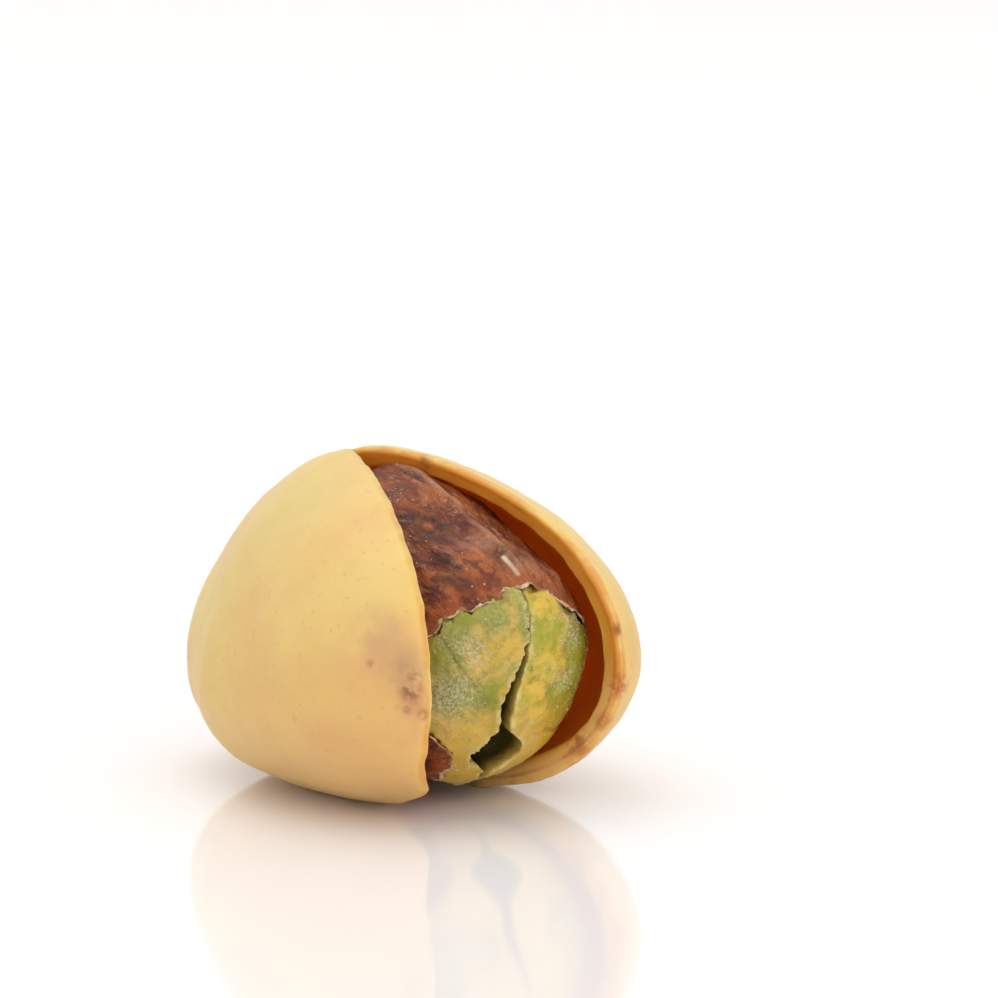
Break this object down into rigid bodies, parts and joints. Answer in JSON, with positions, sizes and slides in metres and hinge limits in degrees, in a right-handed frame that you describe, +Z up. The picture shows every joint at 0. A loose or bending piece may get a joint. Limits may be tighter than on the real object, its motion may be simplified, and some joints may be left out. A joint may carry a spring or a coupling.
{
  "type": "pistachio in shell",
  "caption": "Roasted pistachio in its split tan shell, gaping at the tip, with the brown skin torn back from the green kernel.",
  "frame": {"origin": "middle of the footprint of the whole nut, on the surface that it lies on", "axes": "+Z up, +X along the nut from the joined base to the open tip, +Y towards the right valve seen from the base"},
  "size_m": [0.0186, 0.0148, 0.0123],
  "materials": {
    "nutshell": "satin, smooth woody nutshell, pale yellow tan with faint stains",
    "seed_skin": "satin, thin wrinkled reddish brown skin with purple black blotches",
    "kernel_green": "matt, waxy yellow green seed flesh dusted with salt"
  },
  "bodies": {
    "root": {"shell": "nutshell", "seed_coat": "seed_skin", "cotyledon_left": "kernel_green", "cotyledon_right": "kernel_green"}
  },
  "joints": []
}
